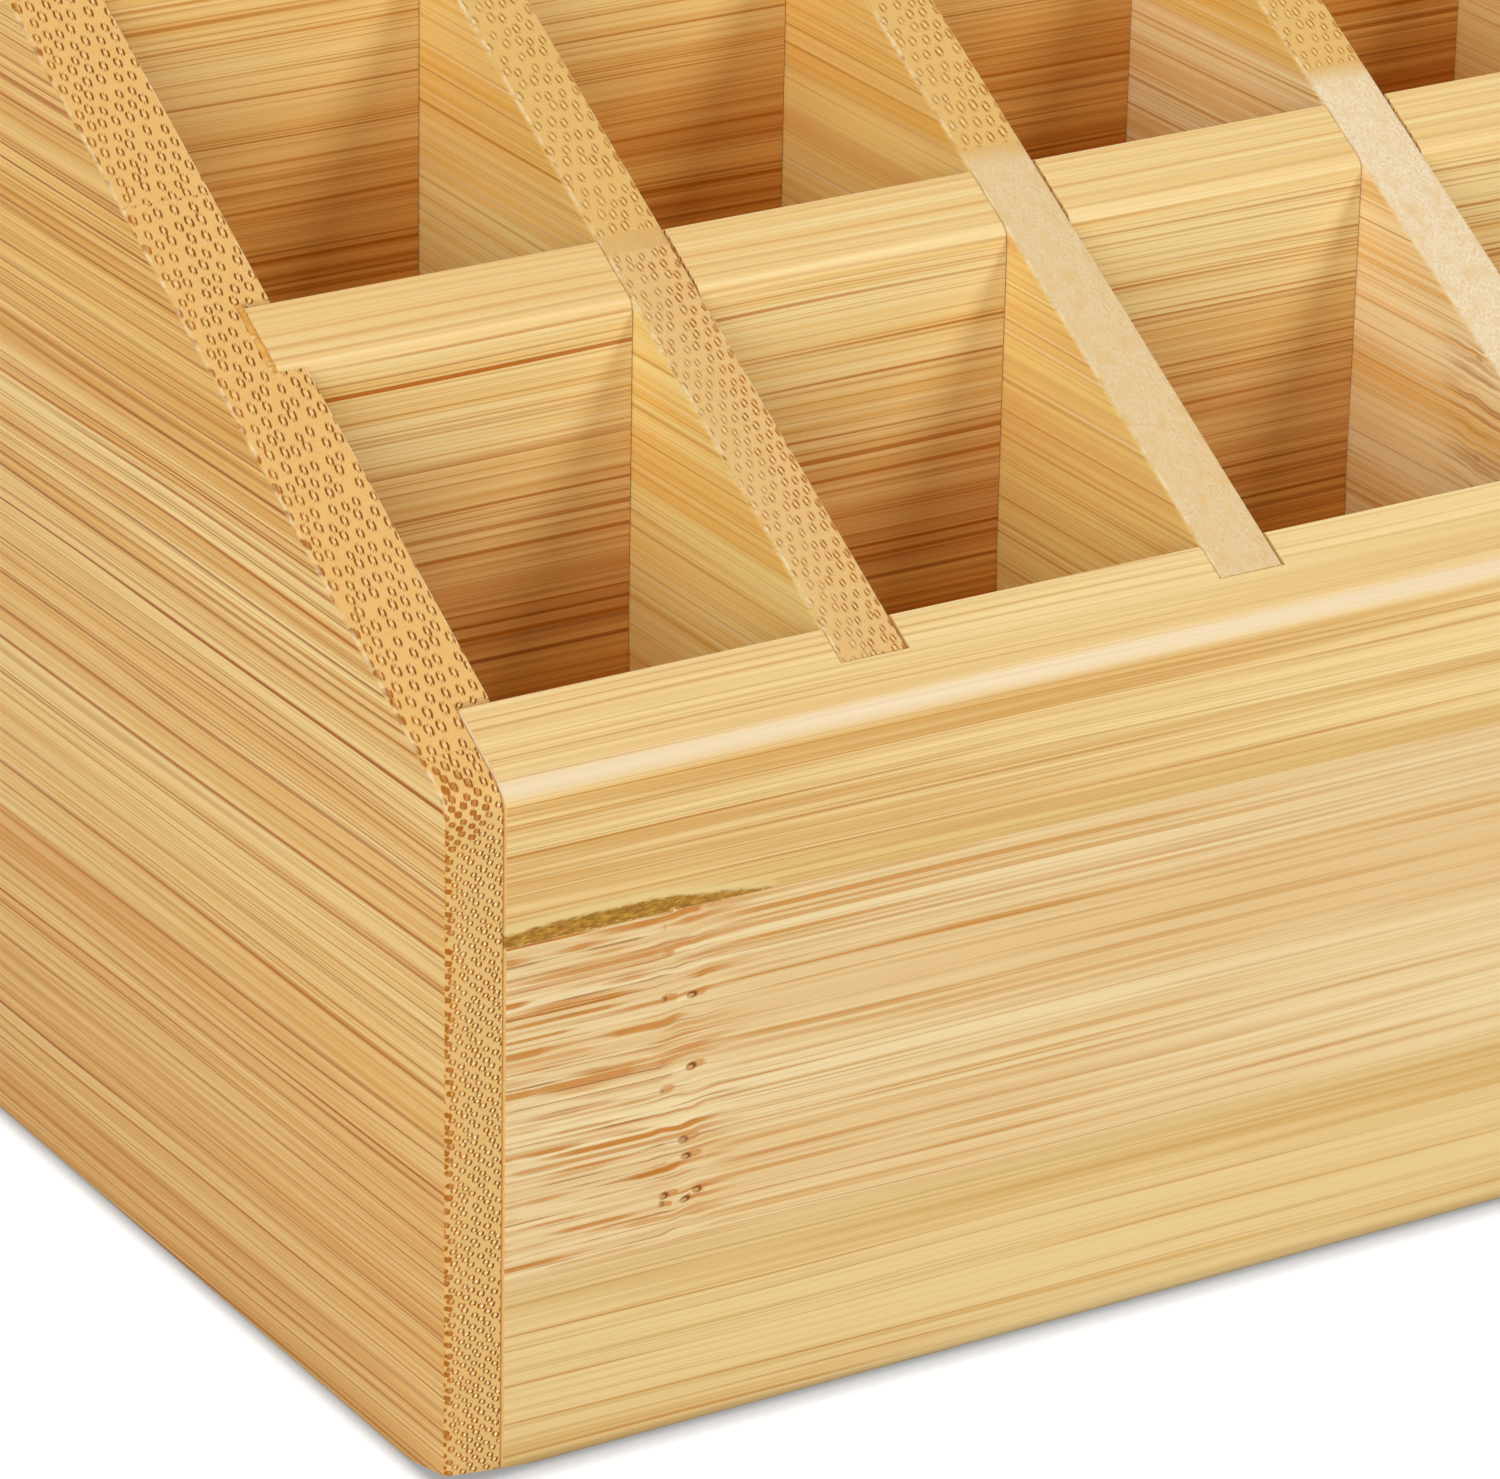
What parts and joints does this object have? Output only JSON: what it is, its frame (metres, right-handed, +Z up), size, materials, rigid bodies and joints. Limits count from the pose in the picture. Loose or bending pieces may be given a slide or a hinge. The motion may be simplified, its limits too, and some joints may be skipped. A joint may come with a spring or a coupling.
{
  "type": "vanity organizer",
  "caption": "Free-standing sloped bamboo organizer with an egg-crate grid of open square compartments for lipsticks, brushes and other small cosmetics.",
  "frame": {"origin": "middle of the underside, on the surface that the organizer stands on", "axes": "+Z up, +Y towards the tall back, +X to the right of someone who faces the low front"},
  "size_m": [0.1934, 0.1292, 0.1266],
  "materials": {
    "panel_bamboo": "clear satin lacquer over natural bamboo",
    "grid_bamboo": "clear satin lacquer over natural bamboo",
    "base_bamboo": "sanded natural bamboo"
  },
  "bodies": {
    "root": {"left_side_panel": "panel_bamboo", "right_side_panel": "panel_bamboo", "front_panel": "panel_bamboo", "back_panel": "panel_bamboo", "base_board": "base_bamboo", "cross_rail_1": "grid_bamboo", "cross_rail_2": "grid_bamboo", "cross_rail_3": "grid_bamboo", "divider_1": "grid_bamboo", "divider_2": "grid_bamboo", "divider_3": "grid_bamboo", "divider_4": "grid_bamboo", "divider_5": "grid_bamboo"}
  },
  "joints": []
}
